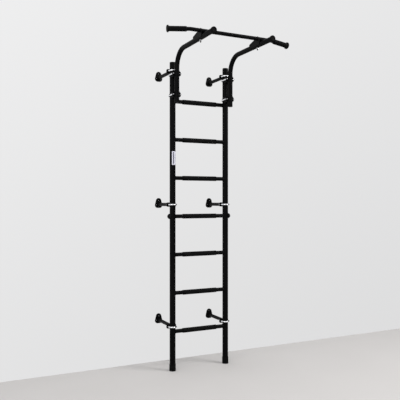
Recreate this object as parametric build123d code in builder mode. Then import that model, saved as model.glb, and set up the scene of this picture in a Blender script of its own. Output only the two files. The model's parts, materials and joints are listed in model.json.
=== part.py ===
from build123d import *

import os
from math import cos, radians, sin, tan

# Wall bars with a clamp-on overhung pull up bar.
#
# Two round posts and seven rungs stand on the floor in front of a wall.  Six
# brackets hold the posts off the wall, each with a U bolt round its post.  Two
# bent arms are clamped to the front of the posts and carry the pull up bar.
#
# Millimetres, +Z up, +X to the right and +Y towards the wall.  The origin is on
# the floor, in the middle of the space that the whole object takes up.

os.makedirs("parts", exist_ok=True)

# ---- Driving dimensions -----------------------------------------------------

post_height = 2200.0            # floor to the top of the post plugs
post_radius = 21.0              # 42 mm tube
post_wall = 1.5
post_x = 214.0                  # post axis to the centre plane
wall_gap = 269.0                # post axis to the wall
arm_reach = 644.0               # post axis to the front of the arms' end caps

rung_count = 7
rung_pitch = 274.0
first_rung_z = 279.0
rung_radius = 14.0              # 28 mm tube
rung_wall = 1.5
rung_grip_radius = 17.0
rung_grip_length = 270.0

bracket_z = {"lower": 314.0, "middle": 1185.0, "upper": 2139.0}
clamp_z = (1960.0, 2106.0)      # the two clamps of each arm

arm_radius = 16.75              # 33.5 mm tube
arm_wall = 2.0
arm_offset = 77.0               # post axis to the vertical part of the arm
arm_bend = 118.0
arm_z = 2261.5                  # axis of the part that reaches forward
arm_bottom = 1906.0
arm_cap_radius = 20.0
arm_cap_length = 14.0

bar_radius = 12.5               # 25 mm tube
bar_wall = 2.0
bar_reach = 483.0               # post axis to the middle of the bar
bar_half = 445.0                # centre plane to the end of the bar tube
bar_straight = 302.0            # half length of the middle, straight part
bar_sweep = 10.3                # the ends turn away by this many degrees
bar_tilt = 24.0                 # of the bends' plane: the ends go back and a little down
bar_bend = 110.0
bar_lift = 5.75                 # gap between the bar and the arms below it
bar_grip_length = 121.0
bar_grip_radius = 16.75
bar_flange_radius = 23.0

rod_radius = 5.0                # U bolts
thread_radius = 4.0             # their threaded ends
nut_flats = 13.0
nut_height = 6.5

clearance = 0.3                 # round a post, for what slides along it
fit = 0.1                       # between fixed pieces, one inside another

# ---- Places worked out from the driving dimensions --------------------------

sides = {"left": -post_x, "right": post_x}
post_y = (arm_reach - wall_gap) / 2
wall_y = post_y + wall_gap
post_bore = post_radius - post_wall
rung_heights = [first_rung_z + rung_pitch * step for step in range(rung_count)]
middle_z = rung_heights[rung_count // 2]
joint_z = middle_z + 30.0       # where the upper posts start

arm_y = post_y - arm_offset
bar_y = post_y - bar_reach
bar_z = arm_z + arm_radius + bar_lift + bar_radius
bar_end_offset = (bar_half - bar_straight) * tan(radians(bar_sweep))

plug_wall = 2.5                 # of the plugs' stems
rounding = 2.0                  # usual small corner
overrun = 1.0                   # how far a cut runs past the surface

hold_radius = post_radius + clearance
leg_x = hold_radius + rod_radius        # U bolt legs, each side of the post


def save(piece, name):
    """Label a finished piece and write it as one node."""
    piece.part.label = name
    export_step(piece.part, f"parts/{name}.step")


# ---- Posts ------------------------------------------------------------------

foot_floor = 4.0
foot_height = 48.0
foot_wall = 2.3
foot_rim = 1.2
plug_rim = 4.0
plug_stem = 22.0
plug_rounding = 2.5
sleeve_down = 100.0             # how far the joint sleeve reaches each way
sleeve_up = 80.0
sleeve_wall = 2.0
bolt_radius = 5.0               # bolts that hold the middle rung
bolt_hole = bolt_radius + 0.5


def post_section(side, bottom, top, outer, inner):
    """A length of round tube on a post's axis."""
    with BuildPart() as tube:
        with BuildSketch(Plane.XY.offset(bottom)):
            with Locations((sides[side], post_y)):
                Circle(outer)
                Circle(inner, mode=Mode.SUBTRACT)
        extrude(amount=top - bottom)
    return tube


for side, x in sides.items():
    lower_tube = post_section(side, foot_floor, joint_z, post_radius, post_bore)
    with BuildPart() as lower_post:
        add(lower_tube.part)
        with Locations((x, post_y, middle_z)):
            Cylinder(bolt_hole, 3 * post_radius, rotation=(0, 90, 0), mode=Mode.SUBTRACT)
    save(lower_post, f"{side}_lower_post")

    upper_post = post_section(side, joint_z, post_height - plug_rim, post_radius, post_bore)
    save(upper_post, f"{side}_upper_post")

    foot_outer = post_radius + foot_wall
    with BuildPart() as foot:
        with BuildSketch():
            with Locations((x, post_y)):
                Circle(foot_outer)
        extrude(amount=foot_height)
        fillet(foot.edges().group_by(Axis.Z)[0], radius=rounding)
        fillet(foot.edges().group_by(Axis.Z)[-1], radius=foot_rim)
        with BuildSketch(Plane.XY.offset(foot_floor)):
            with Locations((x, post_y)):
                Circle(post_radius + fit)
        extrude(amount=foot_height, mode=Mode.SUBTRACT)
    save(foot, f"{side}_foot")

with BuildPart() as joint_sleeves:
    with BuildSketch(Plane.XY.offset(joint_z - sleeve_down)):
        with Locations(*[(x, post_y) for x in sides.values()]):
            Circle(post_bore - fit)
            Circle(post_bore - fit - sleeve_wall, mode=Mode.SUBTRACT)
    extrude(amount=sleeve_down + sleeve_up)
    with Locations(*[(x, post_y, middle_z) for x in sides.values()]):
        Cylinder(bolt_hole, 3 * post_radius, rotation=(0, 90, 0), mode=Mode.SUBTRACT)
save(joint_sleeves, "post_joint_sleeves")

with BuildPart() as top_plugs:
    with BuildSketch(Plane.XY.offset(post_height - plug_rim)):
        with Locations(*[(x, post_y) for x in sides.values()]):
            Circle(post_radius)
    extrude(amount=plug_rim)
    fillet(top_plugs.edges().group_by(Axis.Z)[-1], radius=plug_rounding)
    with BuildSketch(Plane.XY.offset(post_height - plug_rim)):
        with Locations(*[(x, post_y) for x in sides.values()]):
            Circle(post_bore - fit)
            Circle(post_bore - fit - plug_wall, mode=Mode.SUBTRACT)
    extrude(amount=-plug_stem)
save(top_plugs, "post_top_plugs")

# ---- Label, a thin film round the front of the left post ---------------------

label_bottom = 1468.0
label_height = 96.0
label_film = 0.4
label_from = -126.0             # degrees from +X; the post's front is at -90
label_sweep = 93.0

with BuildPart() as label:
    with BuildSketch(Plane.XY.offset(label_bottom)):
        with Locations((-post_x, post_y)):
            Circle(post_radius + label_film)
            Circle(post_radius, mode=Mode.SUBTRACT)
        label_reach = 3 * post_radius
        with BuildLine():
            Polyline(
                (-post_x, post_y),
                (
                    -post_x + label_reach * cos(radians(label_from)),
                    post_y + label_reach * sin(radians(label_from)),
                ),
                (
                    -post_x + label_reach * cos(radians(label_from + label_sweep)),
                    post_y + label_reach * sin(radians(label_from + label_sweep)),
                ),
                close=True,
            )
        make_face(mode=Mode.INTERSECT)
    extrude(amount=label_height)
save(label, "post_label")

# ---- Rungs ------------------------------------------------------------------

rung_grip_chamfer = 1.0

for number, z in enumerate(rung_heights, start=1):
    with BuildPart() as rung:
        with BuildSketch(Plane.YZ.offset(-post_x)):
            with Locations((post_y, z)):
                Circle(rung_radius)
                Circle(rung_radius - rung_wall, mode=Mode.SUBTRACT)
        extrude(amount=2 * post_x)
        # The ends are shaped to the round posts.
        with Locations(*[(x, post_y, z) for x in sides.values()]):
            Cylinder(post_radius, 4 * rung_radius, mode=Mode.SUBTRACT)
    save(rung, f"rung_{number}")

    with BuildPart() as rung_grip:
        with BuildSketch(Plane.YZ.offset(-rung_grip_length / 2)):
            with Locations((post_y, z)):
                Circle(rung_grip_radius)
        extrude(amount=rung_grip_length)
        chamfer(rung_grip.edges(), length=rung_grip_chamfer)
        with BuildSketch(Plane.YZ.offset(-rung_grip_length / 2)):
            with Locations((post_y, z)):
                Circle(rung_radius + fit)
        extrude(amount=rung_grip_length, mode=Mode.SUBTRACT)
    save(rung_grip, f"rung_grip_{number}")

# ---- Bolted joint of the middle rung ------------------------------------------

insert_far = 58.0               # post axis to the inner end of the insert
insert_near = 25.0
bolt_end = 52.0                 # post axis to the tip of the bolt
head_seat = post_radius + 1.0
head_height = 6.4
head_flats = 16.0
cap_radius = 20.0
cap_tip = 40.0                  # post axis to the tip of the domed cap
cap_centre = 18.0               # post axis to the centre of the dome's ellipse
head_room = 1.0                 # round the bolt's head inside the cap


def outward(side):
    """Plane on the middle rung's axis at a post, facing away from the ladder."""
    direction = 1 if side == "right" else -1
    return Plane(origin=(sides[side], post_y, middle_z), x_dir=(0, 1, 0), z_dir=(direction, 0, 0))


with BuildPart() as inserts:
    for side in sides:
        with BuildSketch(outward(side).offset(-insert_far)):
            Circle(rung_radius - rung_wall - fit)
            Circle(bolt_radius + fit / 2, mode=Mode.SUBTRACT)
        extrude(amount=insert_far - insert_near)
save(inserts, "middle_rung_inserts")

with BuildPart() as rung_bolts:
    for side in sides:
        with BuildSketch(outward(side).offset(-bolt_end)):
            Circle(bolt_radius)
        extrude(amount=bolt_end + head_seat)
        with BuildSketch(outward(side).offset(head_seat)):
            RegularPolygon(head_flats / 2, 6, major_radius=False)
        extrude(amount=head_height)
save(rung_bolts, "middle_rung_bolts")

with BuildPart() as rung_caps:
    for side in sides:
        direction = 1 if side == "right" else -1
        x = sides[side]
        # Half an ellipse, turned round the bolt's axis.
        with BuildSketch(Plane.XY.offset(middle_z)):
            with Locations((x + direction * cap_centre, post_y)):
                Ellipse(cap_tip - cap_centre, cap_radius)
            with Locations((x, post_y - 2 * cap_radius)):
                Rectangle(8 * cap_tip, 4 * cap_radius, mode=Mode.SUBTRACT)
            with Locations((x - direction * (2 * cap_tip - cap_centre), post_y)):
                Rectangle(4 * cap_tip, 4 * cap_radius, mode=Mode.SUBTRACT)
        revolve(axis=Axis((x, post_y, middle_z), (1, 0, 0)))
    with Locations(*[(x, post_y, middle_z) for x in sides.values()]):
        Cylinder(post_radius, 4 * cap_radius, mode=Mode.SUBTRACT)
        Cylinder(
            head_flats / 2 / cos(radians(30)) + head_room,
            2 * (head_seat + head_height + head_room),
            rotation=(0, 90, 0),
            mode=Mode.SUBTRACT,
        )
save(rung_caps, "middle_rung_bolt_caps")

# ---- U bolts and nuts ---------------------------------------------------------


def u_bolt(x, z, forward, shoulder, tip):
    """One U bolt round the post at x, its bend on the side away from its legs.

    forward is +1 when the legs run towards the wall, -1 when they run away
    from it.  shoulder and tip are measured from the post's axis.
    """
    shoulder_y = post_y + forward * shoulder
    with BuildPart() as bolt:
        with BuildLine(Plane.XY.offset(z)) as path:
            Line((x - leg_x, shoulder_y), (x - leg_x, post_y))
            ThreePointArc(
                (x - leg_x, post_y),
                (x, post_y - forward * leg_x),
                (x + leg_x, post_y),
            )
            Line((x + leg_x, post_y), (x + leg_x, shoulder_y))
        with BuildSketch(Plane(origin=(x - leg_x, shoulder_y, z), z_dir=(0, -forward, 0))):
            Circle(rod_radius)
        sweep(path=path.line)
        for leg in (x - leg_x, x + leg_x):
            with BuildSketch(Plane(origin=(leg, shoulder_y, z), z_dir=(0, forward, 0))):
                Circle(thread_radius)
            extrude(amount=tip - shoulder)
    return bolt


def nut_pair(x, z, forward, seat, flange):
    """Two nuts on a U bolt's ends, with a washer flange if flange is over 0."""
    seat_y = post_y + forward * seat
    with BuildPart() as pair:
        for leg in (x - leg_x, x + leg_x):
            face = Plane(origin=(leg, seat_y, z), x_dir=(0, 0, 1), z_dir=(0, forward, 0))
            with BuildSketch(face):
                RegularPolygon(nut_flats / 2, 6, major_radius=False)
                Circle(thread_radius + fit, mode=Mode.SUBTRACT)
            extrude(amount=nut_height)
            if flange > 0:
                with BuildSketch(face):
                    Circle(flange)
                    Circle(thread_radius + fit, mode=Mode.SUBTRACT)
                extrude(amount=nut_flange_height)
    return pair


# ---- Wall brackets ------------------------------------------------------------

flange_thickness = 8.0
flange_top_radius = 21.0                # the egg shape is a hull of three discs
flange_top_up = 26.5
flange_foot_radius = 21.0
flange_foot_out = 8.0
flange_foot_down = 6.0
flange_rounding = 3.0
bracket_tube_radius = 12.5
bracket_tube_wall = 2.0
plate_front = hold_radius               # touches the post but for the clearance
plate_thickness = 6.0
plate_half = 37.0
plate_height = 31.0
plate_back = plate_front + plate_thickness
bracket_leg_tip = 47.0
leg_hole = thread_radius + 0.4
screw_circle = 22.0                     # radius of the three screw holes' circle
screw_circle_up = 8.0                   # its centre above the tube's axis
screw_hole = 2.75
nut_flange = 8.5                        # radius of the washer flange under a nut
nut_flange_height = 1.6
plate_corner = 10.0

for level, z in bracket_z.items():
    for side, x in sides.items():
        with BuildPart() as bracket:
            # Egg-shaped wall flange, narrow at the top.
            foot_z = z - flange_foot_down
            with BuildSketch(Plane.XZ.offset(-wall_y)):
                with Locations((x, z + flange_top_up)):
                    Circle(flange_top_radius)
                with Locations((x - flange_foot_out, foot_z), (x + flange_foot_out, foot_z)):
                    Circle(flange_foot_radius)
                make_hull()
            extrude(amount=flange_thickness)
            fillet(bracket.edges().group_by(Axis.Y)[0], radius=flange_rounding)
            with BuildSketch(Plane.XZ.offset(-wall_y)):
                with Locations((x, z + screw_circle_up)):
                    with PolarLocations(screw_circle, 3, start_angle=90):
                        Circle(screw_hole)
            extrude(amount=flange_thickness, mode=Mode.SUBTRACT)
            # Tube from the flange to the end plate.
            with BuildSketch(Plane.XZ.offset(-wall_y + flange_thickness)):
                with Locations((x, z)):
                    Circle(bracket_tube_radius)
                    Circle(bracket_tube_radius - bracket_tube_wall, mode=Mode.SUBTRACT)
            extrude(amount=wall_gap - flange_thickness - plate_back)
            # End plate behind the post.
            with BuildSketch(Plane.XZ.offset(-post_y - plate_back)):
                with Locations((x, z)):
                    RectangleRounded(2 * plate_half, plate_height, plate_corner)
                with Locations((x - leg_x, z), (x + leg_x, z)):
                    Circle(leg_hole, mode=Mode.SUBTRACT)
            extrude(amount=plate_thickness)
        save(bracket, f"{level}_{side}_wall_bracket")

        save(u_bolt(x, z, 1, plate_front - fit, bracket_leg_tip), f"{level}_{side}_u_bolt")
        save(nut_pair(x, z, 1, plate_back, nut_flange), f"{level}_{side}_nuts")

# ---- Arms ---------------------------------------------------------------------

cap_nose = 6.0                          # rubber in front of the arm's tube
arm_end_y = post_y - arm_reach + cap_nose
saddle_bolt_reach = 453.0               # post axis to the bar saddle's bolt
saddle_bolt_y = post_y - saddle_bolt_reach
saddle_bolt_hole = thread_radius + 0.4

for side, x in sides.items():
    with BuildPart() as arm:
        with BuildLine(Plane.YZ.offset(x)) as arm_path:
            FilletPolyline(
                (arm_y, arm_bottom),
                (arm_y, arm_z),
                (arm_end_y, arm_z),
                radius=arm_bend,
            )
        with BuildSketch(Plane.XY.offset(arm_bottom)):
            with Locations((x, arm_y)):
                Circle(arm_radius)
                Circle(arm_radius - arm_wall, mode=Mode.SUBTRACT)
        sweep(path=arm_path.line)
        with Locations((x, saddle_bolt_y, arm_z)):
            Cylinder(saddle_bolt_hole, 4 * arm_radius, mode=Mode.SUBTRACT)
    save(arm, f"{side}_arm_tube")

stem_outer = arm_radius - arm_wall - fit
stem_inner = stem_outer - plug_wall
arm_plug_stem = 16.0
arm_plug_rim = 4.0

with BuildPart() as bottom_plugs:
    for x in sides.values():
        with BuildSketch(Plane.XY.offset(arm_bottom)):
            with Locations((x, arm_y)):
                Circle(stem_outer)
                Circle(stem_inner, mode=Mode.SUBTRACT)
        extrude(amount=arm_plug_stem)
    with BuildSketch(Plane.XY.offset(arm_bottom)):
        with Locations(*[(x, arm_y) for x in sides.values()]):
            Circle(arm_radius)
    extrude(amount=-arm_plug_rim)
    fillet(bottom_plugs.edges().group_by(Axis.Z)[0], radius=plug_rounding)
save(bottom_plugs, "arm_bottom_plugs")

cap_stem = 24.0
cap_rim = 1.5


def into_arm(side, y):
    """Plane across an arm's front, facing back along the tube."""
    return Plane(origin=(sides[side], y, arm_z), x_dir=(1, 0, 0), z_dir=(0, 1, 0))


with BuildPart() as end_caps:
    for side in sides:
        with BuildSketch(into_arm(side, post_y - arm_reach)):
            Circle(arm_cap_radius)
        extrude(amount=arm_cap_length)
    fillet(end_caps.edges().group_by(Axis.Y)[0], radius=cap_nose)
    fillet(end_caps.edges().group_by(Axis.Y)[-1], radius=cap_rim)
    for side in sides:
        with BuildSketch(into_arm(side, arm_end_y)):
            Circle(arm_radius + fit)
        extrude(amount=arm_cap_length, mode=Mode.SUBTRACT)
        with BuildSketch(into_arm(side, arm_end_y)):
            Circle(stem_outer)
            Circle(stem_inner, mode=Mode.SUBTRACT)
        extrude(amount=cap_stem)
save(end_caps, "arm_end_caps")

# ---- Clamps that hold the arms to the posts -----------------------------------

strap_height = 36.0
strap_thickness = 2.5
ear_back = 68.0                         # post axis to the back of the ears
ear_half = 33.0
ear_corner = 12.0
ear_front = ear_back + strap_thickness
arm_leg_tip = ear_front + 8.0
strap_inner = arm_radius + fit
strap_outer = strap_inner + strap_thickness
spacer_half = 19.0
spacer_back = 14.0                      # post axis to the spacer's rear feet
spacer_front = 64.0
wing_half = 28.0                        # wings beside the post, grooved for the U bolt
wing_height = 20.0

for side, x in sides.items():
    with BuildPart() as straps:
        for z in clamp_z:
            with BuildSketch(Plane.XY.offset(z - strap_height / 2)):
                with Locations((x, arm_y)):
                    Circle(strap_outer)
                with Locations((x, post_y - (ear_back + ear_front) / 2)):
                    Rectangle(2 * ear_half, strap_thickness)
                with Locations((x, arm_y)):
                    Circle(strap_inner, mode=Mode.SUBTRACT)
                with Locations((x, post_y - ear_back + ear_half)):
                    Rectangle(2 * ear_half, 2 * ear_half, mode=Mode.SUBTRACT)
            extrude(amount=strap_height)
        ear_corners = [
            edge
            for edge in straps.edges().filter_by(Axis.Y)
            if abs(edge.center().X - x) > ear_half - fit
        ]
        fillet(ear_corners, radius=ear_corner)
        for z in clamp_z:
            with BuildSketch(Plane.XZ.offset(-post_y + ear_back - overrun)):
                with Locations((x - leg_x, z), (x + leg_x, z)):
                    Circle(leg_hole)
            extrude(amount=strap_thickness + 2 * overrun, mode=Mode.SUBTRACT)
    save(straps, f"{side}_arm_straps")

with BuildPart() as spacers:
    for x in sides.values():
        for z in clamp_z:
            with Locations((x, post_y - (spacer_back + spacer_front) / 2, z)):
                Box(2 * spacer_half, spacer_front - spacer_back, strap_height)
    fillet(spacers.edges().filter_by(Axis.Z), radius=rounding)
    for x in sides.values():
        for z in clamp_z:
            with Locations((x, post_y - spacer_front / 2, z)):
                Box(2 * wing_half, spacer_front, wing_height)
            with Locations((x - leg_x, post_y - spacer_front / 2, z), (x + leg_x, post_y - spacer_front / 2, z)):
                Cylinder(rod_radius + fit, 2 * spacer_front, rotation=(90, 0, 0), mode=Mode.SUBTRACT)
            with Locations((x, post_y, z)):
                Cylinder(hold_radius, 2 * strap_height, mode=Mode.SUBTRACT)
            with Locations((x, arm_y, z)):
                Cylinder(arm_radius + fit, 2 * strap_height, mode=Mode.SUBTRACT)
save(spacers, "arm_spacer_blocks")

clamps = [(x, z) for x in sides.values() for z in clamp_z]
clamp_bolts = [u_bolt(x, z, -1, ear_back - fit, arm_leg_tip) for x, z in clamps]
clamp_nuts = [nut_pair(x, z, -1, ear_front, 0) for x, z in clamps]

with BuildPart() as arm_bolts:
    for bolt in clamp_bolts:
        add(bolt.part)
save(arm_bolts, "arm_u_bolts")

with BuildPart() as arm_nuts:
    for pair in clamp_nuts:
        add(pair.part)
save(arm_nuts, "arm_u_bolt_nuts")

# ---- Pull up bar ----------------------------------------------------------------

# The bar's bends lie in this plane, whose Y runs back and a little down.
tilt = radians(bar_tilt)
bar_plane = Plane(origin=(0, bar_y, bar_z), x_dir=(1, 0, 0), z_dir=(0, sin(tilt), cos(tilt)))


def bar_end(side):
    """Plane across one end of the bar, facing outwards."""
    direction = 1 if side == "right" else -1
    inside = bar_end_offset * cos(tilt)
    down = bar_end_offset * sin(tilt)
    turn = radians(bar_sweep)
    return Plane(
        origin=(direction * bar_half, bar_y + inside, bar_z - down),
        x_dir=bar_plane.z_dir,
        z_dir=(direction * cos(turn), sin(turn) * cos(tilt), -sin(turn) * sin(tilt)),
    )


with BuildPart() as bar:
    with BuildLine(bar_plane) as bar_path:
        FilletPolyline(
            (-bar_half, bar_end_offset),
            (-bar_straight, 0),
            (bar_straight, 0),
            (bar_half, bar_end_offset),
            radius=bar_bend,
        )
    with BuildSketch(bar_end("left")):
        Circle(bar_radius)
        Circle(bar_radius - bar_wall, mode=Mode.SUBTRACT)
    sweep(path=bar_path.line)
save(bar, "pull_up_bar")

bar_flange_back = 3.0           # from the end of the bar's tube
bar_flange_thickness = 10.0
bar_flange_rounding = 5.5

for side in sides:
    end_plane = bar_end(side)
    with BuildPart() as grip:
        with BuildSketch(end_plane.offset(-bar_grip_length)):
            Circle(bar_grip_radius)
        extrude(amount=bar_grip_length)
        with BuildSketch(end_plane.offset(-bar_flange_back)):
            Circle(bar_flange_radius)
        extrude(amount=bar_flange_thickness)
        front_edge = grip.edges().sort_by(Axis(end_plane.origin, end_plane.z_dir))[-1]
        fillet(front_edge, radius=bar_flange_rounding)
        with BuildSketch(end_plane.offset(-bar_grip_length)):
            Circle(bar_radius + fit)
        extrude(amount=bar_grip_length + fit, mode=Mode.SUBTRACT)
    save(grip, f"{side}_bar_grip")

# ---- Saddles that seat the bar on the arms ----------------------------------------

cheek_gap = arm_radius + fit            # inner half width of the channel
cheek_thickness = 3.0
saddle_half = cheek_gap + cheek_thickness
saddle_back = 378.0                     # post axis to the saddle's back edge
saddle_front = 502.0
saddle_corner = 2.5
seat_back = 436.0                       # flat part of the web, under the bolt
web_thickness = 3.0
web_front = bar_reach - bar_radius - fit
web_back_z = arm_z + arm_radius + fit + web_thickness
web_seat_z = bar_z
lip_drop = 3.0                          # from the bar's axis to the cheeks' front corner
cheek_drop = 8.0                        # from the arm's axis to the cheeks' lower edge
lip_z = bar_z - lip_drop
cheek_bottom = arm_z - cheek_drop

outside = [
    (saddle_back, cheek_bottom),
    (saddle_back, web_back_z - saddle_corner),
    (saddle_back + saddle_corner, web_back_z),
    (seat_back, web_seat_z),
    (web_front, web_seat_z),
    (saddle_front, lip_z),
    (saddle_front, cheek_bottom),
]
# The hollow leaves the web and is open at the back, below and in front of the web.
hollow = [
    (saddle_back - overrun, cheek_bottom - overrun),
    (saddle_back - overrun, web_back_z - web_thickness),
    (saddle_back + saddle_corner, web_back_z - web_thickness),
    (seat_back, web_seat_z - web_thickness),
    (web_front, web_seat_z - web_thickness),
    (web_front, web_seat_z + overrun),
    (saddle_front + overrun, web_seat_z + overrun),
    (saddle_front + overrun, cheek_bottom - overrun),
]


def on_side(outline):
    """Points given as reach from the post's axis and height, as Y and Z."""
    return [(post_y - reach, z) for reach, z in outline]


for side, x in sides.items():
    with BuildPart() as saddle:
        with BuildSketch(Plane.YZ.offset(x - saddle_half)):
            with BuildLine():
                Polyline(*on_side(outside), close=True)
            cheek = make_face()
            fillet(cheek.vertices(), radius=rounding)
        extrude(amount=2 * saddle_half)
        with BuildSketch(Plane.YZ.offset(x - cheek_gap)):
            with BuildLine():
                Polyline(*on_side(hollow), close=True)
            make_face()
        extrude(amount=2 * cheek_gap, mode=Mode.SUBTRACT)
        with Locations((x, bar_y, bar_z)):
            Cylinder(bar_radius + fit, 4 * saddle_half, rotation=(0, 90, 0), mode=Mode.SUBTRACT)
        with Locations((x, saddle_bolt_y, web_seat_z)):
            Cylinder(saddle_bolt_hole, 4 * web_thickness, mode=Mode.SUBTRACT)
    save(saddle, f"{side}_bar_saddle")

# ---- Bolts through the saddles and arms ---------------------------------------------

dome_height = 26.0                      # washer, hexagon and domed cap together
dome_radius = 6.4
washer_radius = 8.5
washer_thickness = 1.6
arm_underside = arm_z - arm_radius
bolt_below = 16.0                       # how far the bolt's thread shows below the arm
saddle_bolt_tip = arm_underside - bolt_below
hexagon_top = 9.0

with BuildPart() as saddle_bolts:
    for x in sides.values():
        with BuildSketch(Plane.XY.offset(saddle_bolt_tip)):
            with Locations((x, saddle_bolt_y)):
                Circle(thread_radius)
        extrude(amount=web_seat_z - saddle_bolt_tip)
        with BuildSketch(Plane.XY.offset(web_seat_z)):
            with Locations((x, saddle_bolt_y)):
                Circle(washer_radius)
        extrude(amount=washer_thickness)
        with BuildSketch(Plane.XY.offset(web_seat_z + washer_thickness)):
            with Locations((x, saddle_bolt_y)):
                RegularPolygon(nut_flats / 2, 6, major_radius=False)
        extrude(amount=hexagon_top - washer_thickness)
        with Locations((x, saddle_bolt_y, web_seat_z + dome_height - dome_radius)):
            Sphere(dome_radius)
        with BuildSketch(Plane.XY.offset(web_seat_z + hexagon_top)):
            with Locations((x, saddle_bolt_y)):
                Circle(dome_radius)
        extrude(amount=dome_height - dome_radius - hexagon_top)
save(saddle_bolts, "saddle_bolts")

with BuildPart() as saddle_nuts:
    for x in sides.values():
        with BuildSketch(Plane.XY.offset(arm_underside)):
            with Locations((x, saddle_bolt_y)):
                RegularPolygon(nut_flats / 2, 6, major_radius=False)
                Circle(thread_radius + fit, mode=Mode.SUBTRACT)
        extrude(amount=-nut_height - washer_thickness)
        with BuildSketch(Plane.XY.offset(arm_underside)):
            with Locations((x, saddle_bolt_y)):
                Circle(washer_radius)
                Circle(thread_radius + fit, mode=Mode.SUBTRACT)
        extrude(amount=-washer_thickness)
save(saddle_nuts, "saddle_nuts")
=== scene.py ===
"""Looks of the wall bars with a pull up bar: finishes, detailed small parts, light and camera.

Metres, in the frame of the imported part: +Z up, +X to the right, +Y towards the wall.
Detailed pieces stand where the CAD nodes that they replace stand.
"""
import json
from math import cos, pi, radians, sin, sqrt, tan

import bmesh
import bpy
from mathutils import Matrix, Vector


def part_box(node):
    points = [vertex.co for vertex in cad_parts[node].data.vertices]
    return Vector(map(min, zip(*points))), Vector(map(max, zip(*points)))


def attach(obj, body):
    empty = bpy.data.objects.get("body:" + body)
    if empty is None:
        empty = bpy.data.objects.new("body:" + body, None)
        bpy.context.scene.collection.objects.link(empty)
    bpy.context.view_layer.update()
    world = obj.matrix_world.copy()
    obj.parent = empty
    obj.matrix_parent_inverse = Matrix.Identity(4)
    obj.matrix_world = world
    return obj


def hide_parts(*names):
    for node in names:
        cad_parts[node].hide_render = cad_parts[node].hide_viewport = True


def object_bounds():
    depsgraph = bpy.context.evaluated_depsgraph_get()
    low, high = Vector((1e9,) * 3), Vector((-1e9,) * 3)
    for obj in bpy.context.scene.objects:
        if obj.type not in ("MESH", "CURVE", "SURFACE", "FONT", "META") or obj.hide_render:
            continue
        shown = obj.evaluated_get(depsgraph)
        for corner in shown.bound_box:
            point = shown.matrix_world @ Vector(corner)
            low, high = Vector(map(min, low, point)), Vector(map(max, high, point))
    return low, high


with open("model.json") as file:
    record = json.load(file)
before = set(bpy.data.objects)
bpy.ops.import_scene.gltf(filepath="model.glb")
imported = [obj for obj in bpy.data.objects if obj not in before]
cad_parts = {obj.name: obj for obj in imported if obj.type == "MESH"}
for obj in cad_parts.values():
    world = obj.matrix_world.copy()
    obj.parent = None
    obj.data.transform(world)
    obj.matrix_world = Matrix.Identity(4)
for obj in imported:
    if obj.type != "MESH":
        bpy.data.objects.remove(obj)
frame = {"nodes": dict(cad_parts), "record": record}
cad_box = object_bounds()

MM = 0.001
FIT = 0.1 * MM                  # gap between fixed pieces, one inside another
SIDES = {"left": -1, "right": 1}
LEVELS = ("lower", "middle", "upper")


# ---- Places read from the frame -------------------------------------------------

def middle(node):
    """Centre of a CAD node's box."""
    low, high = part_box(node)
    return (low + high) / 2


def size(node):
    low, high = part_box(node)
    return high - low


post_axis = {side: middle(f"{side}_upper_post") for side in SIDES}
post_radius = size("left_upper_post").x / 2
rung_count = sum(name.startswith("rung_grip_") for name in frame["nodes"])
rung_z = [middle(f"rung_{number + 1}").z for number in range(rung_count)]
rung_radius = size("rung_1").z / 2
middle_rung = rung_count // 2
arm_axis = {side: middle(f"{side}_arm_tube") for side in SIDES}
arm_radius = size("left_arm_tube").x / 2


# ---- Node helpers ---------------------------------------------------------------

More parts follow.
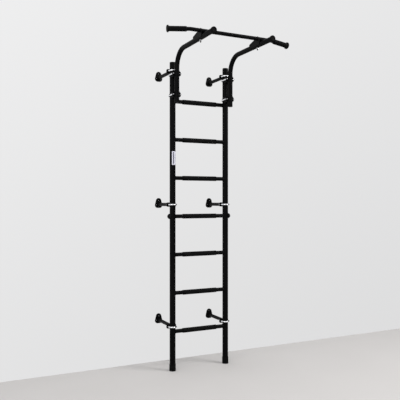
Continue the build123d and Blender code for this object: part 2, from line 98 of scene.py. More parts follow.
class Finish:
    """A material being built: its shader and the few node chains that every finish uses."""

    def __init__(self, name, colour, roughness, **sockets):
        self.material = bpy.data.materials.new(name)
        self.material.use_nodes = True
        self.tree = self.material.node_tree
        self.shader = self.tree.nodes["Principled BSDF"]
        self.shader.inputs["Base Color"].default_value = (*colour, 1)
        self.shader.inputs["Roughness"].default_value = roughness
        for socket, value in sockets.items():
            self.shader.inputs[socket.replace("_", " ")].default_value = value
        self.place = self.tree.nodes.new("ShaderNodeTexCoord").outputs["Object"]
        self.normal = None

    def link(self, a, b):
        self.tree.links.new(a, b)

    def noise(self, scale, detail=3.0, stretch=(1, 1, 1)):
        """Noise from 0 to 1, scale in cells for each metre."""
        mapping = self.tree.nodes.new("ShaderNodeMapping")
        mapping.inputs["Scale"].default_value = stretch
        self.link(self.place, mapping.inputs["Vector"])
        noise = self.tree.nodes.new("ShaderNodeTexNoise")
        noise.inputs["Scale"].default_value = scale
        noise.inputs["Detail"].default_value = detail
        self.link(mapping.outputs["Vector"], noise.inputs["Vector"])
        return noise.outputs["Fac"]

    def cells(self, scale, feature="F1"):
        cells = self.tree.nodes.new("ShaderNodeTexVoronoi")
        cells.feature = feature
        cells.inputs["Scale"].default_value = scale
        self.link(self.place, cells.inputs["Vector"])
        return cells.outputs["Distance"]

    def math(self, operation, a, b=0.0, c=0.0):
        node = self.tree.nodes.new("ShaderNodeMath")
        node.operation = operation
        for socket, value in zip(node.inputs, (a, b, c)):
            if isinstance(value, (int, float)):
                socket.default_value = value
            else:
                self.link(value, socket)
        return node.outputs[0]

    def spread(self, value, low, high, start=0.3, end=0.7):
        """value from start to end becomes low to high."""
        node = self.tree.nodes.new("ShaderNodeMapRange")
        self.link(value, node.inputs["Value"])
        for socket, number in (("From Min", start), ("From Max", end), ("To Min", low), ("To Max", high)):
            node.inputs[socket].default_value = number
        return node.outputs["Result"]

    def mix(self, factor, first, second):
        """Colour that goes from first to second with factor."""
        node = self.tree.nodes.new("ShaderNodeMix")
        node.data_type = "RGBA"
        self.link(factor, node.inputs["Factor"])
        for socket, colour in ((node.inputs["A"], first), (node.inputs["B"], second)):
            if isinstance(colour, tuple):
                socket.default_value = (*colour, 1)
            else:
                self.link(colour, socket)
        return node.outputs["Result"]

    def set_colour(self, colour):
        self.link(colour, self.shader.inputs["Base Color"])

    def set_roughness(self, value):
        self.link(value, self.shader.inputs["Roughness"])

    def bump(self, height, distance, strength=0.6):
        """Adds relief distance metres deep on top of any there is."""
        node = self.tree.nodes.new("ShaderNodeBump")
        node.inputs["Distance"].default_value = distance
        node.inputs["Strength"].default_value = strength
        self.link(height, node.inputs["Height"])
        if self.normal is not None:
            self.link(self.normal, node.inputs["Normal"])
        self.normal = node.outputs["Normal"]
        self.link(self.normal, self.shader.inputs["Normal"])


# ---- Finishes -------------------------------------------------------------------

def powder_coat():
    """Black semi-gloss powder coat: fine orange peel, dust and faint rubbed patches."""
    finish = Finish("powder_coat", (0.0030, 0.0030, 0.0033), 0.40, Specular_IOR_Level=0.035)
    cloud = finish.noise(9.0, 4.0)
    rubbed = finish.spread(finish.noise(60.0, 6.0, (1, 1, 0.15)), 0.0, 1.0, 0.56, 0.78)
    worn = finish.mix(rubbed, (0.0016, 0.0016, 0.0018), (0.0050, 0.0049, 0.0047))
    finish.set_colour(finish.mix(finish.spread(cloud, 0.0, 0.5), worn, (0.0028, 0.0028, 0.0030)))
    clean_roughness = finish.spread(cloud, 0.34, 0.46)
    finish.set_roughness(finish.math("ADD", clean_roughness, finish.math("MULTIPLY", rubbed, 0.10)))
    finish.bump(finish.noise(900.0, 2.0), 0.00006, 0.35)
    finish.bump(finish.noise(160.0, 2.0), 0.00010, 0.20)
    return finish.material


def chrome():
    """Bright plated steel with hairline rubbing and a few dull spots."""
    finish = Finish("bright_chrome", (0.80, 0.81, 0.83), 0.12, Metallic=1.0)
    spots = finish.spread(finish.noise(420.0, 5.0), 0.0, 1.0, 0.58, 0.74)
    finish.set_colour(finish.mix(spots, (0.82, 0.83, 0.85), (0.58, 0.58, 0.59)))
    hairlines = finish.spread(finish.noise(2400.0, 2.0), 0.08, 0.16)
    finish.set_roughness(finish.math("ADD", hairlines, finish.math("MULTIPLY", spots, 0.22)))
    finish.bump(finish.noise(3000.0, 2.0), 0.00002, 0.25)
    return finish.material


def zinc():
    """Zinc plated steel: satin, with a faint crystal pattern."""
    finish = Finish("zinc_plate", (0.50, 0.51, 0.52), 0.38, Metallic=1.0)
    crystal = finish.spread(finish.cells(700.0), 0.0, 1.0, 0.1, 0.8)
    finish.set_colour(finish.mix(crystal, (0.44, 0.45, 0.47), (0.62, 0.62, 0.62)))
    finish.set_roughness(finish.spread(finish.noise(900.0, 4.0), 0.28, 0.48))
    finish.bump(finish.noise(1500.0, 3.0), 0.00003, 0.3)
    return finish.material


def black_oxide():
    """Blackened steel: dark grey, oily, rubbed a little brighter."""
    finish = Finish("black_oxide", (0.010, 0.010, 0.011), 0.38, Metallic=0.5, Specular_IOR_Level=0.15)
    rubbed = finish.spread(finish.noise(500.0, 5.0), 0.0, 1.0, 0.52, 0.75)
    finish.set_colour(finish.mix(rubbed, (0.006, 0.006, 0.007), (0.024, 0.0235, 0.023)))
    finish.set_roughness(finish.spread(finish.noise(240.0, 3.0), 0.26, 0.44))
    finish.bump(finish.noise(1800.0, 2.0), 0.00003, 0.3)
    return finish.material


def bare_steel():
    """Drawn steel inside the joints: long brushed lines."""
    finish = Finish("drawn_steel", (0.40, 0.40, 0.41), 0.42, Metallic=1.0)
    lines = finish.noise(700.0, 3.0, (1, 1, 0.03))
    finish.set_colour(finish.mix(finish.spread(lines, 0.0, 1.0), (0.30, 0.30, 0.31), (0.48, 0.47, 0.46)))
    finish.set_roughness(finish.spread(lines, 0.34, 0.52))
    finish.bump(lines, 0.00004, 0.4)
    return finish.material


def rubber(name, shade, roughness, grain, depth):
    """Black moulded rubber: matte, pebbled and slightly chalky where it is handled."""
    finish = Finish(name, (shade, shade, shade), roughness, Specular_IOR_Level=0.03)
    chalk = finish.spread(finish.noise(45.0, 5.0), 0.0, 1.0, 0.50, 0.80)
    chalky = (shade * 2.0, shade * 1.95, shade * 1.9)
    finish.set_colour(finish.mix(chalk, (shade, shade, shade * 1.05), chalky))
    finish.set_roughness(finish.spread(finish.noise(30.0, 3.0), roughness - 0.07, roughness + 0.07))
    finish.bump(finish.cells(grain, "SMOOTH_F1"), depth, 0.5)
    finish.bump(finish.noise(grain * 3.0, 2.0), depth * 0.4, 0.3)
    return finish.material


def plastic():
    """Black moulded plastic: an even fine spark texture with smoother patches."""
    finish = Finish("moulded_plastic", (0.004, 0.004, 0.0045), 0.42, Specular_IOR_Level=0.05)
    flow = finish.noise(25.0, 3.0)
    streaks = finish.spread(flow, 0.0, 1.0)
    finish.set_colour(finish.mix(streaks, (0.003, 0.003, 0.0034), (0.006, 0.006, 0.0065)))
    finish.set_roughness(finish.spread(flow, 0.34, 0.50))
    finish.bump(finish.noise(1400.0, 3.0), 0.00005, 0.5)
    return finish.material


def label_film():
    """White printed film with one plain grey stripe down its length, under a clear lacquer."""
    finish = Finish("label_film", (0.62, 0.62, 0.70), 0.32, Coat_Weight=0.4, Coat_Roughness=0.12)
    split = finish.tree.nodes.new("ShaderNodeSeparateXYZ")
    finish.link(finish.place, split.inputs[0])
    across = finish.math("SUBTRACT", split.outputs["X"], post_axis["left"].x)
    depth = finish.math("SUBTRACT", split.outputs["Y"], post_axis["left"].y)
    angle = finish.math("ARCTAN2", depth, across)
    stripe_angle, stripe_half = radians(-95), radians(13)
    away = finish.math("ABSOLUTE", finish.math("SUBTRACT", angle, stripe_angle))
    stripe = finish.math("LESS_THAN", away, stripe_half)
    low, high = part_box("post_label")
    margin = 0.006
    above = finish.math("GREATER_THAN", split.outputs["Z"], low.z + margin)
    below = finish.math("LESS_THAN", split.outputs["Z"], high.z - margin)
    printed = finish.math("MULTIPLY", stripe, finish.math("MULTIPLY", above, below))
    fibres = finish.spread(finish.noise(70.0, 4.0), 0.0, 1.0)
    paper = finish.mix(fibres, (0.56, 0.56, 0.65), (0.66, 0.66, 0.74))
    finish.set_colour(finish.mix(printed, paper, (0.10, 0.10, 0.13)))
    finish.set_roughness(finish.spread(finish.noise(300.0, 3.0), 0.26, 0.40))
    finish.bump(finish.noise(120.0, 3.0), 0.00008, 0.3)
    return finish.material


finishes = {
    "frame_paint": powder_coat(),
    "chrome": chrome(),
    "zinc_hardware": zinc(),
    "black_hardware": black_oxide(),
    "bare_steel": bare_steel(),
    "rung_rubber": rubber("ribbed_rubber", 0.0034, 0.62, 1500.0, 0.00008),
    "grip_rubber": rubber("soft_grip_rubber", 0.0038, 0.55, 1100.0, 0.00010),
    "foot_rubber": rubber("dense_rubber", 0.0034, 0.66, 800.0, 0.00008),
    "black_plastic": plastic(),
    "label_film": label_film(),
}


def paint_cad_nodes():
    """Every CAD node takes the finish of its slot in the record."""
    slots = {part["node"]: part["material_slot"] for part in frame["record"]["subparts"]}
    for name, obj in frame["nodes"].items():
        finish = finishes[slots[name]]
        if obj.data.materials:
            for index in range(len(obj.data.materials)):
                obj.data.materials[index] = finish
        else:
            obj.data.materials.append(finish)


paint_cad_nodes()


# ---- Mesh helpers ---------------------------------------------------------------

class Shell:
    """A mesh being collected: closed skins over rows of rings."""

    def __init__(self):
        self.verts = []
        self.faces = []

    def skin(self, rings, loop=False):
        """Faces over rings of points. The rows join up if loop, and else both ends are capped."""
        start = len(self.verts)
        count = len(rings[0])
        for ring in rings:
            self.verts.extend(ring)
        rows = len(rings)
        for row in range(rows if loop else rows - 1):
            here = start + row * count
            there = start + (row + 1) % rows * count
            for step in range(count):
                after = (step + 1) % count
                self.faces.append((here + step, here + after, there + after, there + step))
        if not loop:
            self.faces.append(tuple(start + step for step in reversed(range(count))))
            self.faces.append(tuple(start + (rows - 1) * count + step for step in range(count)))

    def piece(self, name, body, slot, nodes=(), crease=35.0):
        mesh = bpy.data.meshes.new(name)
        mesh.from_pydata(self.verts, [], self.faces)
        solid = bmesh.new()
        solid.from_mesh(mesh)
        bmesh.ops.recalc_face_normals(solid, faces=solid.faces)
        solid.to_mesh(mesh)
        solid.free()
        mesh.materials.append(finishes[slot])
        mesh.shade_smooth()
        mesh.set_sharp_from_angle(angle=radians(crease))
        obj = bpy.data.objects.new(name, mesh)
        bpy.context.scene.collection.objects.link(obj)
        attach(obj, body)
        if nodes:
            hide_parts(*nodes)
        return obj


def across(axis):
    """Two unit directions square to axis and to each other, right-handed with it."""
    helper = Vector((0, 0, 1)) if abs(axis.z) < 0.9 else Vector((1, 0, 0))
    u = axis.cross(helper).normalized()
    return u, axis.cross(u)


def turned(profile, origin, axis, count=48, shape=None):
    """Rings of a turned part. profile has (along, radius) in metres.

    shape(angle, along, radius), if given, alters the radius.
    """
    u, v = across(axis)
    rings = []
    for along, radius in profile:
        ring = []
        for step in range(count):
            angle = 2 * pi * step / count
            reach = shape(angle, along, radius) if shape else radius
            ring.append(origin + axis * along + (u * cos(angle) + v * sin(angle)) * reach)
        rings.append(ring)
    return rings


def swept(points, normal, radius_at, count=20, closed=False):
    """Rings of a round rod along points that lie near a plane with that normal."""
    rings = []
    total = len(points)
    travelled = 0.0
    for index, point in enumerate(points):
        before = points[index - 1] if index or closed else point
        after = points[(index + 1) % total] if index < total - 1 or closed else point
        if index:
            travelled += (point - points[index - 1]).length
        direction = (after - before).normalized()
        side = normal.cross(direction).normalized()
        up = direction.cross(side)
        ring = []
        for step in range(count):
            angle = 2 * pi * step / count
            reach = radius_at(travelled, angle)
            ring.append(point + (side * cos(angle) + up * sin(angle)) * reach)
        rings.append(ring)
    return rings


def rounded(along, radius, corner, start, end, steps=4):
    """Part of a circle of a profile, from start to end degrees, round the point (along, radius)."""
    arc = []
    for step in range(steps + 1):
        angle = radians(start + (end - start) * step / steps)
        arc.append((along + corner * cos(angle), radius + corner * sin(angle)))
    return arc


# ---- Ribbed sleeves on the rungs ------------------------------------------------

FLUTES = 22
FLUTE_DEPTH = 0.7 * MM
COLLAR = 14 * MM


def rung_sleeve(number):
    """Rubber sleeve with lengthwise flutes between two ringed collars."""
    low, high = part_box(f"rung_grip_{number}")
    half = (high.x - low.x) / 2
    outer = (high.z - low.z) / 2
    bore = rung_radius + FIT
    edge = 1.2 * MM
    groove = 0.9 * MM

    def collar(end):
        """Profile of one end, from the face inwards; end is -1 or +1."""
        marks = [(half, bore), (half, outer - edge), (half - edge, outer)]
        for ring in range(2):
            at = half - 4.5 * MM - ring * 4.5 * MM
            marks += [(at, outer), (at - 0.5 * MM, outer - groove)]
            marks += [(at - 1.4 * MM, outer - groove), (at - 1.9 * MM, outer)]
        marks.append((half - COLLAR, outer))
        return [(end * along, radius) for along, radius in marks]

    flat = half - COLLAR
    ramp = 3 * MM
    body = [(-flat + ramp, outer), (-flat / 3, outer), (flat / 3, outer), (flat - ramp, outer)]
    profile = collar(-1) + body + list(reversed(collar(1)))

    def fluted(angle, along, radius):
        if abs(along) > flat - ramp / 2:
            return radius
        return radius - FLUTE_DEPTH * abs(sin(angle * FLUTES / 2)) ** 0.7

    shell = Shell()
    origin = Vector(((low.x + high.x) / 2, (low.y + high.y) / 2, (low.z + high.z) / 2))
    shell.skin(turned(profile, origin, Vector((1, 0, 0)), FLUTES * 8, fluted), loop=True)
    shell.piece(f"ribbed_sleeve_{number}", "ladder", "rung_rubber", [f"rung_grip_{number}"], crease=50)


for number in range(1, rung_count + 1):
    rung_sleeve(number)


# ---- Rubber grips of the pull up bar and end caps of the arms -------------------

RING_PITCH = 4.0 * MM
RING_DEPTH = 0.7 * MM


def ringed(start, end, radius):
    """Profile of a sleeve with fine rings cut round it from start to end."""
    profile = []
    count = int((end - start) / RING_PITCH)
    for ring in range(count):
        at = start + ring * RING_PITCH
        profile += [(at, radius), (at + 0.5 * MM, radius - RING_DEPTH)]
        profile += [(at + 1.3 * MM, radius - RING_DEPTH), (at + 1.8 * MM, radius)]
    return profile


def closed_sleeve(profile, bore_radius, bore_end, origin, axis):
    """Rings of a sleeve with a closed front: profile runs from its open back to the middle of its front."""
    outside = turned(profile, origin, axis, 64)
    bore = turned([(bore_end, bore_radius), (bore_end, 2 * MM)], origin, axis, 64)
    return list(reversed(outside)) + bore


GRIP_LENGTH = 121 * MM
GRIP_RADIUS = 16.75 * MM
FLANGE_RADIUS = 23 * MM
FLANGE_BACK = -3 * MM           # from the end of the bar's tube
FLANGE_FRONT = 7 * MM
BAR_SWEEP = radians(10.3)
BAR_TILT = radians(24.0)

bar_low, bar_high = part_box("pull_up_bar")
bar_radius = 12.5 * MM
bar_y = bar_low.y + bar_radius
bar_z = bar_high.z - bar_radius


def bar_end(side):
    """Centre of one end of the bar's tube, and the direction that it faces."""
    direction = SIDES[side]
    back = sin(BAR_SWEEP)
    axis = Vector((direction * cos(BAR_SWEEP), back * cos(BAR_TILT), -back * sin(BAR_TILT)))
    edge_x = bar_high.x if direction > 0 else bar_low.x
    end = Vector((edge_x - direction * bar_radius * sin(BAR_SWEEP), 0, 0))
    end.y = bar_high.y - bar_radius * sqrt(1 - axis.y ** 2)
    end.z = bar_low.z + bar_radius * sqrt(1 - axis.z ** 2)
    return end, axis


def bar_grip(side):
    """Rubber grip with a round stop flange at its end and fine rings along it."""
    end, axis = bar_end(side)
    bore = bar_radius + FIT
    corner = 2 * MM
    neck = 3 * MM
    rim = 2.5 * MM
    shoulder = 5.5 * MM
    dish = 0.8 * MM                 # depth of the hollow in the flange's front
    dish_front = FLANGE_FRONT - dish
    profile = [(-GRIP_LENGTH, bore)]
    profile += rounded(-GRIP_LENGTH + corner, GRIP_RADIUS - corner, corner, 180, 90)
    profile += ringed(-GRIP_LENGTH + 9 * MM, FLANGE_BACK - 10 * MM, GRIP_RADIUS)
    profile += [(FLANGE_BACK - neck, GRIP_RADIUS)]
    profile += [(FLANGE_BACK - neck * 0.3, GRIP_RADIUS + 0.8 * MM), (FLANGE_BACK, GRIP_RADIUS + 2.6 * MM)]
    profile += rounded(FLANGE_BACK + rim, FLANGE_RADIUS - rim, rim, 180, 90)
    profile += rounded(FLANGE_FRONT - shoulder, FLANGE_RADIUS - shoulder, shoulder, 90, 8, steps=6)
    profile += [(FLANGE_FRONT, FLANGE_RADIUS - 9 * MM), (dish_front, FLANGE_RADIUS - 10 * MM)]
    profile += [(dish_front, 3 * MM), (FLANGE_FRONT - 0.2 * MM, 1.5 * MM)]
    shell = Shell()
    shell.skin(closed_sleeve(profile, bore, FIT, end, axis))
    shell.piece(f"{side}_ringed_bar_grip", "bar_assembly", "grip_rubber", [f"{side}_bar_grip"], crease=45)


CAP_LENGTH = 14 * MM
CAP_NOSE = 6 * MM               # from the cap's front to the end of the arm's tube
CAP_STEM = 24 * MM
CAP_STEM_OUTER = 14.65 * MM
CAP_STEM_INNER = 12.15 * MM


def arm_end_caps():
    """Rubber caps on the fronts of the arms, each with a round nose and a hollow stem in the tube."""
    low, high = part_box("arm_end_caps")
    radius = (high.z - low.z) / 2
    corner = 1.5 * MM
    ahead = Vector((0, -1, 0))
    shell = Shell()
    for side in SIDES:
        front = Vector((arm_axis[side].x, low.y, (low.z + high.z) / 2))
        profile = [(-CAP_NOSE, arm_radius + FIT), (-CAP_LENGTH, arm_radius + FIT)]
        profile += rounded(-CAP_LENGTH + corner, radius - corner, corner, 180, 90)
        profile += [(-CAP_LENGTH + 3 * MM, radius), (-CAP_LENGTH + 3.5 * MM, radius - 0.7 * MM)]
        profile += [(-CAP_LENGTH + 4.4 * MM, radius - 0.7 * MM), (-CAP_LENGTH + 4.9 * MM, radius)]
        profile += rounded(-CAP_NOSE, radius - CAP_NOSE, CAP_NOSE, 90, 6, steps=8)
        profile += [(0, radius - 9 * MM), (-0.6 * MM, radius - 10 * MM), (-0.6 * MM, 2 * MM)]
        outside = turned(profile, front, ahead, 64)
        stem = [(-CAP_NOSE, 2 * MM), (-CAP_NOSE, CAP_STEM_INNER), (-CAP_NOSE - CAP_STEM, CAP_STEM_INNER)]
        stem += [(-CAP_NOSE - CAP_STEM, CAP_STEM_OUTER), (-CAP_NOSE, CAP_STEM_OUTER)]
        inside = turned(stem, front, ahead, 64)
        shell.skin(list(reversed(outside)) + list(reversed(inside)))
    shell.piece("ringed_arm_end_caps", "bar_assembly", "grip_rubber", ["arm_end_caps"], crease=45)


for side in SIDES:
    bar_grip(side)
arm_end_caps()


# ---- U bolts with cut threads ---------------------------------------------------

ROD_RADIUS = 5 * MM
THREAD_RADIUS = 4 * MM
THREAD_PITCH = 1.25 * MM
THREAD_DEPTH = 0.65 * MM
THREAD_LENGTH = 17 * MM
TIP_CHAMFER = 0.9 * MM
RINGS_A_PITCH = 6


def thread_cut(angle, along):
    """Depth of the cut thread at an angle round it and a distance along it."""
    turn = (angle / (2 * pi) + along / THREAD_PITCH) % 1
    return THREAD_DEPTH * (1 - abs(2 * turn - 1))


def u_bolt_rings(centre, leg_x, forward, shoulder, tip):
    """Rings of a bent rod with thinner threaded ends. The bend goes round centre."""
    y_axis = Vector((0, forward, 0))
    x_axis = Vector((1, 0, 0))
    thread_start = max(tip - THREAD_LENGTH, shoulder + 1 * MM)
    thread_steps = round((tip - thread_start) / THREAD_PITCH * RINGS_A_PITCH)
    leg = [tip, tip - 0.01 * MM]
    leg += [tip + (thread_start - tip) * step / thread_steps for step in range(1, thread_steps + 1)]
    leg += [shoulder + 0.4 * MM, shoulder, shoulder * 0.66, shoulder * 0.33]
    arc_steps = 28
    path = [centre - x_axis * leg_x + y_axis * along for along in leg]
    for step in range(arc_steps + 1):
        angle = pi * step / arc_steps
        path.append(centre - x_axis * leg_x * cos(angle) - y_axis * leg_x * sin(angle))
    path += [centre + x_axis * leg_x + y_axis * along for along in reversed(leg)]

    lengths = [0.0]
    for before, after in zip(path, path[1:]):
        lengths.append(lengths[-1] + (after - before).length)
    total = lengths[-1]
    shoulder_length = tip - shoulder
    thread_end = tip - thread_start

    def radius_at(travelled, angle):
        depth = min(travelled, total - travelled)
        if depth >= shoulder_length:
            return ROD_RADIUS
        if depth > thread_end:
            return THREAD_RADIUS
        fade = min(1.0, (thread_end - depth) / (2 * THREAD_PITCH))
        chamfer = max(0.0, TIP_CHAMFER - depth)
        return THREAD_RADIUS - max(thread_cut(angle, travelled) * fade, chamfer)

    return swept(path, Vector((0, 0, 1)), radius_at, count=24)


# ---- Hexagon nuts ---------------------------------------------------------------

NUT_FLATS = 13 * MM
BORE_RADIUS = 4.1 * MM
WASHER_RADIUS = 8.5 * MM
WASHER_HEIGHT = 1.6 * MM


def hexagon(angle, radius):
    """radius, cut down to a nut's flats at that angle."""
    turn = (angle + pi / 6) % (pi / 3) - pi / 6
    return min(radius, NUT_FLATS / 2 / cos(turn))


def nut_rings(origin, axis, height, flange_radius=0.0, flange_height=0.0):
    """Closed rings of a chamfered hexagon nut, with a conical washer flange if it has one."""
    face_radius = NUT_FLATS / 2 * 0.97
    corner_rise = (NUT_FLATS / 2 / cos(pi / 6) - face_radius) * tan(pi / 6)
    steps = [corner_rise * part / 4 for part in range(5)]
    profile = [(0.0, BORE_RADIUS + 0.4 * MM)]
    if flange_radius:
        profile += [(0.0, flange_radius - 0.3 * MM), (0.3 * MM, flange_radius)]
        profile += [(flange_height * 0.7, flange_radius), (flange_height, flange_radius - 0.3 * MM)]
        profile += [(flange_height + 0.3 * MM, NUT_FLATS / 2 * 1.12)]
        profile += [(flange_height + 0.9 * MM, NUT_FLATS)]
    else:
        profile += [(rise, face_radius + rise / tan(pi / 6)) for rise in steps]
    profile += [(height - rise, face_radius + rise / tan(pi / 6)) for rise in reversed(steps)]
    profile += [(height, BORE_RADIUS + 0.5 * MM), (height - 0.5 * MM, BORE_RADIUS), (0.4 * MM, BORE_RADIUS)]

    def flats(angle, along, radius):
        if radius < NUT_FLATS / 2 * 0.9 or (flange_radius and along <= flange_height):
            return radius
        return hexagon(angle, radius)

    return turned(profile, origin, axis, 60, flats)


# ---- Bracket U bolts and nuts ---------------------------------------------------

PLATE_BACK = 27.3 * MM          # post axis to the back of a bracket's end plate
BRACKET_SHOULDER = 21.2 * MM
BRACKET_TIP = 47 * MM
LEG_X = 26.3 * MM               # U bolt legs, each side of the post
NUT_HEIGHT = 6.5 * MM

for level in LEVELS:
    for side in SIDES:
        bracket = f"{level}_{side}"
        centre = post_axis[side].copy()
        centre.z = middle(f"{bracket}_u_bolt").z
        bolt = Shell()
        bolt.skin(u_bolt_rings(centre, LEG_X, 1, BRACKET_SHOULDER, BRACKET_TIP))
        bolt.piece(f"{bracket}_threaded_u_bolt", f"{bracket}_bracket", "chrome", [f"{bracket}_u_bolt"])
        nuts = Shell()
        for leg in (-LEG_X, LEG_X):
            seat = centre + Vector((leg, PLATE_BACK, 0))
            flange_nut = nut_rings(seat, Vector((0, 1, 0)), NUT_HEIGHT, WASHER_RADIUS, WASHER_HEIGHT)
            nuts.skin(flange_nut, loop=True)
        nuts.piece(f"{bracket}_flange_nuts", f"{bracket}_bracket", "zinc_hardware", [f"{bracket}_nuts"])


# ---- Arm clamp U bolts and nuts -------------------------------------------------

EAR_BACK = 68 * MM              # post axis to the straps' ears
EAR_FRONT = 70.5 * MM
CLAMP_TIP = 78.5 * MM
STRAP_HALF = 18 * MM            # half the height of a strap

strap_low, strap_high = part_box("left_arm_straps")
clamp_z = (strap_low.z + STRAP_HALF, strap_high.z - STRAP_HALF)
clamp_bolts = Shell()
clamp_nuts = Shell()
for side in SIDES:
    for z in clamp_z:
        centre = Vector((post_axis[side].x, post_axis[side].y, z))
        clamp_bolts.skin(u_bolt_rings(centre, LEG_X, -1, EAR_BACK - 0.1 * MM, CLAMP_TIP))
        for leg in (-LEG_X, LEG_X):
            seat = centre + Vector((leg, -EAR_FRONT, 0))
            clamp_nuts.skin(nut_rings(seat, Vector((0, -1, 0)), NUT_HEIGHT), loop=True)
clamp_bolts.piece("threaded_arm_u_bolts", "bar_assembly", "chrome", ["arm_u_bolts"])
clamp_nuts.piece("chamfered_arm_nuts", "bar_assembly", "black_hardware", ["arm_u_bolt_nuts"])


# ---- Bolts through the bar saddles ----------------------------------------------

DOME_RADIUS = 6.4 * MM
HEAD_HEIGHT = 26 * MM
HEXAGON_TOP = 9 * MM
THREAD_TURNS = 20

bolt_low, bolt_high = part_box("saddle_bolts")
nut_low, nut_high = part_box("saddle_nuts")
saddle_bolt_y = (bolt_low.y + bolt_high.y) / 2
head_seat_z = bolt_high.z - HEAD_HEIGHT
shank_length = head_seat_z - bolt_low.z


def shank_rings(seat, up):
    """Rings of a shank below its seat, with a thread cut in its lower part."""
    profile = [(-shank_length, THREAD_RADIUS - TIP_CHAMFER)]
    for ring in range(THREAD_TURNS * RINGS_A_PITCH + 1):
        at = -shank_length + 0.01 * MM + ring * THREAD_PITCH / RINGS_A_PITCH
        profile.append((at, THREAD_RADIUS))
    thread_top = profile[-1][0]
    profile.append((thread_top + 0.5 * MM, THREAD_RADIUS))
    profile.append((-0.5 * MM, THREAD_RADIUS))

    def threaded(angle, along, radius):
        if along > thread_top or radius < THREAD_RADIUS:
            return radius
        chamfer = max(0.0, TIP_CHAMFER - (along + shank_length))
        return radius - max(thread_cut(angle, along), chamfer)

    return turned(profile, seat, up, 24, threaded)


def washer_rings(seat, up):
    edge = 0.2 * MM
    profile = [(0, THREAD_RADIUS), (0, WASHER_RADIUS - edge), (edge, WASHER_RADIUS)]
    profile += [(1.4 * MM, WASHER_RADIUS), (WASHER_HEIGHT, WASHER_RADIUS - edge)]
    profile += [(WASHER_HEIGHT, THREAD_RADIUS)]
    return turned(profile, seat, up, 40)


def dome_rings(seat, up):
    """Rings of a hexagon head with a tall dome on it."""
    profile = [(WASHER_HEIGHT, NUT_FLATS / 2 * 0.97), (2.3 * MM, NUT_FLATS)]
    profile += [(HEXAGON_TOP - 0.9 * MM, NUT_FLATS), (HEXAGON_TOP, NUT_FLATS / 2 * 0.99)]
    profile += [(HEXAGON_TOP + 0.5 * MM, DOME_RADIUS - 0.3 * MM), (HEXAGON_TOP + 1.2 * MM, DOME_RADIUS)]
    profile += rounded(HEAD_HEIGHT - DOME_RADIUS, 0, DOME_RADIUS, 90, 6, steps=9)

    def flats(angle, along, radius):
        return radius if along > HEXAGON_TOP else hexagon(angle, radius)

    return turned(profile, seat, up, 60, flats)


saddle_bolts = Shell()
saddle_nuts = Shell()
for side in SIDES:
    seat = Vector((post_axis[side].x, saddle_bolt_y, head_seat_z))
    up = Vector((0, 0, 1))
    saddle_bolts.skin(shank_rings(seat, up))
    saddle_bolts.skin(washer_rings(seat, up), loop=True)
    saddle_bolts.skin(dome_rings(seat, up))
    under = Vector((post_axis[side].x, saddle_bolt_y, nut_high.z))
    nut = nut_rings(under, Vector((0, 0, -1)), nut_high.z - nut_low.z, WASHER_RADIUS, WASHER_HEIGHT)
    saddle_nuts.skin(nut, loop=True)
saddle_bolts.piece("domed_saddle_bolts", "bar_assembly", "black_hardware", ["saddle_bolts"])
saddle_nuts.piece("chamfered_saddle_nuts", "bar_assembly", "zinc_hardware", ["saddle_nuts"])


# ---- Feet -----------------------------------------------------------------------

FOOT_FLOOR = 4 * MM


def foot(side):
    """Moulded rubber foot: ringed near the floor, with a rolled rim round the post."""
    low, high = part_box(f"{side}_foot")
    outer = (high.x - low.x) / 2
    height = high.z - low.z
    bore = post_radius + FIT
    groove = 0.8 * MM
    profile = [(0, outer - 2.2 * MM)]
    profile += rounded(1.6 * MM, outer - 1.6 * MM, 1.6 * MM, 180, 90)
    for ring in range(3):
        at = (6 + 4.5 * ring) * MM
        profile += [(at, outer), (at + 0.4 * MM, outer - groove)]
        profile += [(at + 1.4 * MM, outer - groove), (at + 1.8 * MM, outer)]
    profile += [(height - 7 * MM, outer - 0.3 * MM), (height - 6 * MM, outer - 0.9 * MM)]
    profile += [(height - 5 * MM, outer - 0.4 * MM)]
    profile += rounded(height - 1.4 * MM, outer - 1.2 * MM, 1.2 * MM, 90, 0)
    profile += [(height, bore), (FOOT_FLOOR, bore)]
    shell = Shell()
    origin = Vector((post_axis[side].x, post_axis[side].y, low.z))
    shell.skin(turned(profile, origin, Vector((0, 0, 1)), 64))
    shell.piece(f"{side}_ringed_foot", "ladder", "foot_rubber", [f"{side}_foot"], crease=40)


for side in SIDES:
    foot(side)


# ---- Weld beads -----------------------------------------------------------------

BEAD = 2.4 * MM
RIPPLE = 2.2 * MM               # distance between the ripples of a bead
BEAD_OUT = 0.4 * MM             # from a surface to the middle line of its bead


def bead_rings(points, normal, closed=True, radius=BEAD):
    """Rings of a weld bead: a rod with crescent ripples along it."""

    def radius_at(travelled, angle):
        phase = 2 * pi * travelled / RIPPLE
        return radius * (0.93 + 0.09 * sin(phase + 1.2 * cos(angle)))

    return swept(points, normal, radius_at, count=10, closed=closed)


def spaced(point_at, turn_from, turn_to, count):
    return [point_at(turn_from + (turn_to - turn_from) * step / count) for step in range(count)]


rung_welds = Shell()
for number, z in enumerate(rung_z):
    if number == middle_rung:
        continue
    for side, direction in SIDES.items():
        centre = post_axis[side]

        def on_post(angle):
            """Where the rung's surface enters the post, a little outside both."""
            y = (rung_radius + BEAD_OUT) * cos(angle)
            up = (rung_radius + BEAD_OUT) * sin(angle)
            out = sqrt((post_radius + BEAD_OUT) ** 2 - y ** 2)
            return Vector((centre.x - direction * out, centre.y + y, z + up))

        points = spaced(on_post, 0, 2 * pi, 150)
        rung_welds.skin(bead_rings(points, Vector((1, 0, 0))), loop=True)
rung_welds.piece("rung_weld_beads", "ladder", "frame_paint", crease=80)

TUBE_RADIUS = 12.5 * MM
FLANGE_THICKNESS = 8 * MM

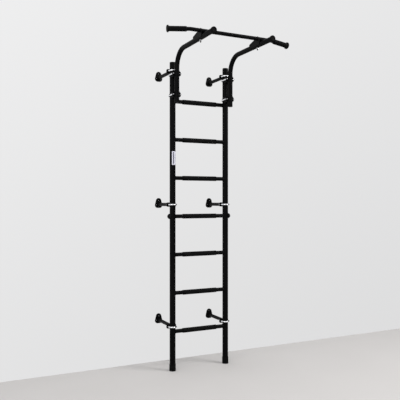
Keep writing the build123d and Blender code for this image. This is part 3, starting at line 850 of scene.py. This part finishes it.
for level in LEVELS:
    for side in SIDES:
        bracket = f"{level}_{side}"
        low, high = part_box(f"{bracket}_wall_bracket")
        x = post_axis[side].x
        z = middle(f"{bracket}_u_bolt").z
        welds = Shell()
        for y in (high.y - FLANGE_THICKNESS, post_axis[side].y + PLATE_BACK):

            def round_tube(angle):
                reach = TUBE_RADIUS + 0.5 * MM
                return Vector((x + reach * cos(angle), y, z + reach * sin(angle)))

            welds.skin(bead_rings(spaced(round_tube, 0, 2 * pi, 120), Vector((0, 1, 0))), loop=True)
        welds.piece(f"{bracket}_bracket_weld_beads", f"{bracket}_bracket", "frame_paint", crease=80)

SADDLE_BEAD = 2 * MM


def notch_point(face_x):
    """Where the bar's surface leaves a saddle cheek, by angle round the bar."""
    reach = bar_radius + BEAD_OUT
    return lambda angle: Vector((face_x, bar_y + reach * cos(angle), bar_z + reach * sin(angle)))


saddle_welds = Shell()
for side in SIDES:
    low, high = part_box(f"{side}_bar_saddle")
    for face_x in (low.x, high.x):
        points = spaced(notch_point(face_x), radians(-166), radians(-4), 90)
        saddle_welds.skin(bead_rings(points, Vector((1, 0, 0)), closed=False, radius=SADDLE_BEAD))
    inset = 4 * MM
    length = high.x - low.x - 2 * inset
    steps = 60
    seam = [
        Vector((low.x + inset + length * step / steps, bar_y + bar_radius + 0.6 * MM, high.z))
        for step in range(steps + 1)
    ]
    saddle_welds.skin(bead_rings(seam, Vector((0, 0, 1)), closed=False, radius=SADDLE_BEAD))
saddle_welds.piece("saddle_weld_beads", "bar_assembly", "frame_paint", crease=80)


# ---- Floor ----------------------------------------------------------------------

def pale_floor():
    """Plain pale floor that ends where the wall would stand."""
    finish = Finish("pale_floor", (0.52, 0.50, 0.49), 0.55, Specular_IOR_Level=0.2)
    finish.set_colour(finish.mix(finish.noise(2.0, 3.0), (0.51, 0.495, 0.485), (0.54, 0.525, 0.515)))
    return finish.material


FLOOR_SIDE = 5.0
FLOOR_FRONT = -5.0
wall_y = cad_box[1].y
corners = [
    (-FLOOR_SIDE, FLOOR_FRONT, 0),
    (FLOOR_SIDE, FLOOR_FRONT, 0),
    (FLOOR_SIDE, wall_y, 0),
    (-FLOOR_SIDE, wall_y, 0),
]
floor_mesh = bpy.data.meshes.new("floor")
floor_mesh.from_pydata(corners, [], [(0, 1, 2, 3)])
floor_mesh.materials.append(pale_floor())
floor = bpy.data.objects.new("floor", floor_mesh)
bpy.context.scene.collection.objects.link(floor)


# ---- Light ----------------------------------------------------------------------

def soft_light(name, place, aim, width, watts, tint=(1, 1, 1)):
    data = bpy.data.lights.new(name, "AREA")
    data.shape = "SQUARE"
    data.size = width
    data.energy = watts
    data.color = tint
    light = bpy.data.objects.new(name, data)
    light.location = place
    light.rotation_euler = (Vector(aim) - Vector(place)).to_track_quat("-Z", "Y").to_euler()
    light.visible_camera = False
    bpy.context.scene.collection.objects.link(light)


chest = (0, 0, 1.1)
soft_light("key", (2.6, -2.4, 3.6), chest, 1.6, 120)
soft_light("fill", (-3.4, -2.6, 2.2), chest, 2.4, 50)
soft_light("ceiling", (0, -2.0, 5.0), (0, -1.9, 0), 6.0, 110)


WALL_LEVEL = 0.822              # brightness that the camera sees in a level direction
WALL_RISE = 0.144               # more of it upwards
WALL_FALL = -0.094              # less of it towards +X


def room_glow():
    """Pale surroundings: a soft gradient to look at, and as light a glow that is dimmer towards +X."""
    world = bpy.data.worlds.new("room_glow")
    bpy.context.scene.world = world
    world.use_nodes = True
    tree = world.node_tree
    tree.nodes.clear()

    def add(kind, **values):
        node = tree.nodes.new("ShaderNode" + kind)
        for name, value in values.items():
            setattr(node, name, value)
        return node

    place = add("TexCoord")
    split = add("SeparateXYZ")
    tree.links.new(place.outputs["Generated"], split.inputs[0])
    rise = add("Math", operation="MULTIPLY_ADD")
    rise.inputs[1].default_value = WALL_RISE
    rise.inputs[2].default_value = WALL_LEVEL
    tree.links.new(split.outputs["Z"], rise.inputs[0])
    shade = add("Math", operation="MULTIPLY_ADD")
    shade.inputs[1].default_value = WALL_FALL
    tree.links.new(split.outputs["X"], shade.inputs[0])
    tree.links.new(rise.outputs[0], shade.inputs[2])
    seen = add("Background")
    seen.inputs["Color"].default_value = (1.0, 1.0, 1.005, 1)
    tree.links.new(shade.outputs[0], seen.inputs["Strength"])
    glow = add("Background")
    glow.inputs["Color"].default_value = (1.0, 1.0, 1.01, 1)
    sides = add("MapRange")
    tree.links.new(split.outputs["X"], sides.inputs["Value"])
    for socket, value in (("From Min", -0.2), ("From Max", 0.7), ("To Min", 0.85), ("To Max", 0.12)):
        sides.inputs[socket].default_value = value
    tree.links.new(sides.outputs["Result"], glow.inputs["Strength"])
    path = add("LightPath")
    mix = add("MixShader")
    output = add("OutputWorld")
    tree.links.new(path.outputs["Is Camera Ray"], mix.inputs[0])
    tree.links.new(glow.outputs[0], mix.inputs[1])
    tree.links.new(seen.outputs[0], mix.inputs[2])
    tree.links.new(mix.outputs[0], output.inputs["Surface"])


room_glow()


# ---- Camera ---------------------------------------------------------------------

CAMERA_X = -1.8192
CAMERA_BACK = 3.7111            # in front of the posts
CAMERA_HEIGHT = 1.2179
CAMERA_HEADING = -26.164        # degrees from straight at the wall
CAMERA_LENS = 50.93

camera_data = bpy.data.cameras.new("camera")
camera_data.lens = CAMERA_LENS
camera_data.sensor_width = 36
camera = bpy.data.objects.new("camera", camera_data)
ladder_y = post_axis["left"].y
camera.location = (CAMERA_X, ladder_y - CAMERA_BACK, CAMERA_HEIGHT)
camera.rotation_euler = (radians(90), 0, radians(CAMERA_HEADING))
bpy.context.scene.collection.objects.link(camera)
bpy.context.scene.camera = camera
bpy.context.scene.view_settings.view_transform = "Standard"
